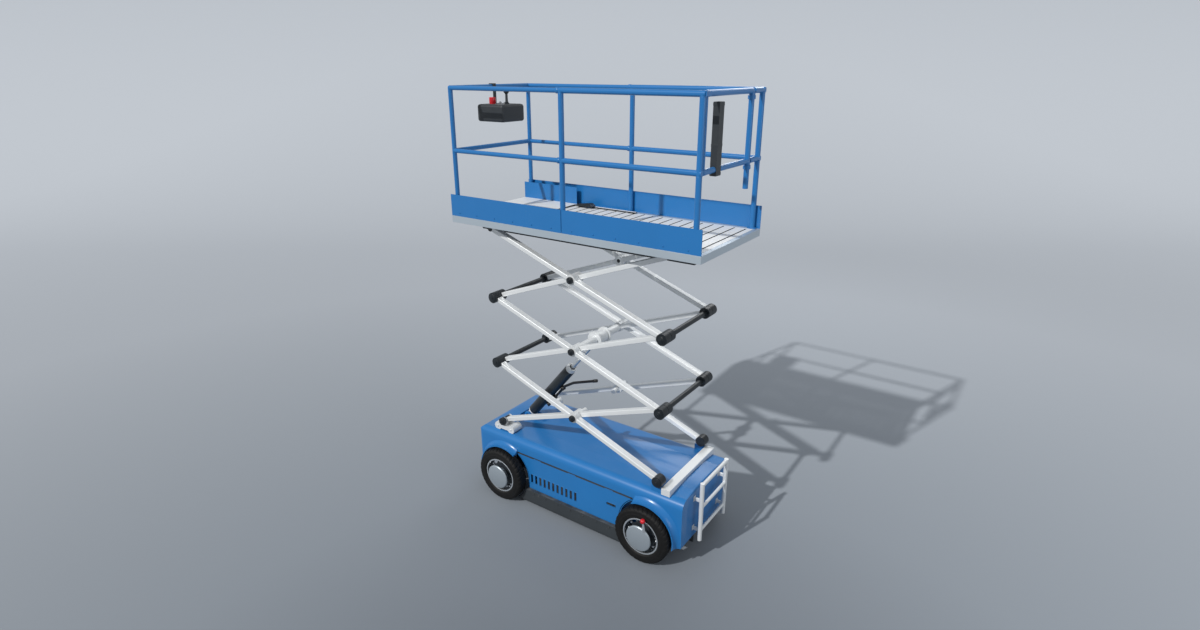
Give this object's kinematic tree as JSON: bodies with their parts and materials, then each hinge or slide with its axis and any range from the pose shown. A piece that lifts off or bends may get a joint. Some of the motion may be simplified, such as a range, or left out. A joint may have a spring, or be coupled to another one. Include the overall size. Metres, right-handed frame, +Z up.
{
  "type": "scissor lift",
  "caption": "Self-propelled scissor lift: wheeled blue chassis, crossed arms raised by a central cylinder, railed platform with a roll-out deck.",
  "frame": {"origin": "on the floor under the middle of the machine's outer box", "axes": "+X towards the ladder end (rear), +Y across the machine, +Z up"},
  "size_m": [2.52, 1.2478, 3.986],
  "materials": {
    "blue_paint": "gloss blue paint",
    "light_steel": "light grey paint",
    "grey_steel": "mid grey paint",
    "deck_grey": "worn grey paint",
    "charcoal_steel": "matt charcoal paint",
    "dark_steel": "satin near-black",
    "chromed_rod": "ground and chromed",
    "chromed_rim": "bright rim, grey hub",
    "tyre_rubber": "matt black rubber",
    "black_rubber": "black hydraulic line",
    "black_plastic": "moulded black",
    "red_plastic": "gloss red",
    "battery_case": "black case"
  },
  "bodies": {
    "chassis": {"chassis_frame": "charcoal_steel", "arm_towers": "blue_paint", "body_shell": "blue_paint", "wheel_arches": "blue_paint", "pothole_guards": "charcoal_steel", "pivot_brackets": "light_steel", "base_pins": "dark_steel", "cross_beam": "light_steel", "roller_tracks": "blue_paint", "battery_block": "battery_case", "hydraulic_unit": "charcoal_steel", "rear_axle": "charcoal_steel", "front_axle": "charcoal_steel", "ladder": "light_steel"},
    "door_left": {"door_left": "blue_paint"},
    "door_right": {"door_right": "blue_paint"},
    "steering_left": {"knuckle_left": "charcoal_steel"},
    "steering_right": {"knuckle_right": "charcoal_steel"},
    "wheel_front_left": {"tyre_front_left": "tyre_rubber", "rim_front_left": "chromed_rim"},
    "wheel_front_right": {"tyre_front_right": "tyre_rubber", "rim_front_right": "chromed_rim"},
    "wheel_rear_left": {"tyre_rear_left": "tyre_rubber", "rim_rear_left": "chromed_rim"},
    "wheel_rear_right": {"tyre_rear_right": "tyre_rubber", "rim_rear_right": "chromed_rim"},
    "inner_pair_1": {"inner_arms_1": "light_steel", "inner_pins_1": "dark_steel"},
    "outer_pair_1": {"outer_arms_1": "light_steel", "outer_collars_1": "dark_steel"},
    "inner_pair_2": {"inner_arms_2": "light_steel", "inner_pins_2": "dark_steel"},
    "outer_pair_2": {"outer_arms_2": "light_steel", "outer_collars_2": "dark_steel"},
    "inner_pair_3": {"inner_arms_3": "light_steel", "inner_pins_3": "dark_steel"},
    "outer_pair_3": {"outer_arms_3": "light_steel", "outer_collars_3": "dark_steel"},
    "lift_barrel": {"cylinder_barrel": "dark_steel", "cylinder_caps": "light_steel", "cylinder_pipe": "black_rubber"},
    "lift_rod": {"cylinder_rod": "chromed_rod"},
    "platform": {"platform_frame": "grey_steel", "deck_slats": "deck_grey", "under_deck_channels": "dark_steel", "toe_boards": "blue_paint", "guard_rails": "blue_paint", "slide_pads": "black_plastic"},
    "extension": {"extension_deck": "deck_grey", "extension_toe_plates": "blue_paint", "extension_rails": "blue_paint", "foot_pedal": "dark_steel", "control_box": "black_plastic", "joystick": "black_plastic", "stop_button": "red_plastic"},
    "gate": {"gate": "blue_paint", "document_holder": "black_plastic"}
  },
  "joints": [
    {"name": "lift", "type": "hinge", "parent": "chassis", "child": "inner_pair_1", "pos_m": [-0.9, 0, 0.788], "axis": [0, -1, 0], "range_deg": [-16.8, 4]},
    {"name": "cross_1", "type": "hinge", "parent": "inner_pair_1", "child": "outer_pair_1", "pos_m": [0.00445, 0, 1.11719], "axis": [0, -1, 0], "range_deg": [-8.05, 33.65]},
    {"name": "left_node_1", "type": "hinge", "parent": "outer_pair_1", "child": "inner_pair_2", "pos_m": [-0.9, 0, 1.44639], "axis": [0, -1, 0], "range_deg": [-33.65, 8.05]},
    {"name": "cross_2", "type": "hinge", "parent": "inner_pair_2", "child": "outer_pair_2", "pos_m": [0.00445, 0, 1.77558], "axis": [0, -1, 0], "range_deg": [-8.05, 33.65]},
    {"name": "left_node_2", "type": "hinge", "parent": "outer_pair_2", "child": "inner_pair_3", "pos_m": [-0.9, 0, 2.10478], "axis": [0, -1, 0], "range_deg": [-33.65, 8.05]},
    {"name": "cross_3", "type": "hinge", "parent": "inner_pair_3", "child": "outer_pair_3", "pos_m": [0.00445, 0, 2.43397], "axis": [0, -1, 0], "range_deg": [-8.05, 33.65]},
    {"name": "platform_pivot", "type": "hinge", "parent": "outer_pair_3", "child": "platform", "pos_m": [-0.9, 0, 2.76317], "axis": [0, -1, 0], "range_deg": [-16.85, 4.05]},
    {"name": "cylinder_base", "type": "hinge", "parent": "chassis", "child": "lift_barrel", "pos_m": [-0.88, 0, 0.705], "axis": [0, -1, 0], "range_deg": [-32.81, 7.85]},
    {"name": "cylinder_stroke", "type": "slide", "parent": "lift_barrel", "child": "lift_rod", "axis": [0.6369, 0, 0.7709], "range_m": [-0.44082, 0.10572]},
    {"name": "steer_left", "type": "hinge", "parent": "chassis", "child": "steering_left", "pos_m": [-0.827, -0.47, 0.27], "axis": [0, 0, 1], "range_deg": [-35, 35]},
    {"name": "steer_right", "type": "hinge", "parent": "chassis", "child": "steering_right", "pos_m": [-0.827, 0.47, 0.27], "axis": [0, 0, 1], "range_deg": [-35.05, 35.05]},
    {"name": "spin_front_left", "type": "hinge", "parent": "steering_left", "child": "wheel_front_left", "pos_m": [-0.827, -0.515, 0.27], "axis": [0, 1, 0], "continuous": true},
    {"name": "spin_front_right", "type": "hinge", "parent": "steering_right", "child": "wheel_front_right", "pos_m": [-0.827, 0.515, 0.27], "axis": [0, 1, 0], "continuous": true},
    {"name": "spin_rear_left", "type": "hinge", "parent": "chassis", "child": "wheel_rear_left", "pos_m": [0.827, -0.515, 0.27], "axis": [0, 1, 0], "continuous": true},
    {"name": "spin_rear_right", "type": "hinge", "parent": "chassis", "child": "wheel_rear_right", "pos_m": [0.827, 0.515, 0.27], "axis": [0, 1, 0], "continuous": true},
    {"name": "door_left_hinge", "type": "hinge", "parent": "chassis", "child": "door_left", "pos_m": [0, -0.4515, 0.5295], "axis": [-1, 0, 0], "range_deg": [0, 85]},
    {"name": "door_right_hinge", "type": "hinge", "parent": "chassis", "child": "door_right", "pos_m": [0, 0.4515, 0.5295], "axis": [1, 0, 0], "range_deg": [0, 85]},
    {"name": "gate_hinge", "type": "hinge", "parent": "platform", "child": "gate", "pos_m": [1.198, 0.307, 3.6], "axis": [0, 0, -1], "range_deg": [0, 90]},
    {"name": "extension_slide", "type": "slide", "parent": "platform", "child": "extension", "axis": [-1, 0, 0], "range_m": [0, 0.6]}
  ],
  "couplings": [
    {"joint": "cross_1", "follows": "lift", "ratio": -2},
    {"joint": "left_node_1", "follows": "lift", "ratio": 2},
    {"joint": "cross_2", "follows": "lift", "ratio": -2},
    {"joint": "left_node_2", "follows": "lift", "ratio": 2},
    {"joint": "cross_3", "follows": "lift", "ratio": -2},
    {"joint": "platform_pivot", "follows": "lift", "ratio": 1},
    {"joint": "cylinder_base", "follows": "lift", "ratio": 1.95},
    {"joint": "cylinder_stroke", "follows": "lift", "m_per_rad": 1.5},
    {"joint": "steer_right", "follows": "steer_left", "ratio": 1}
  ]
}
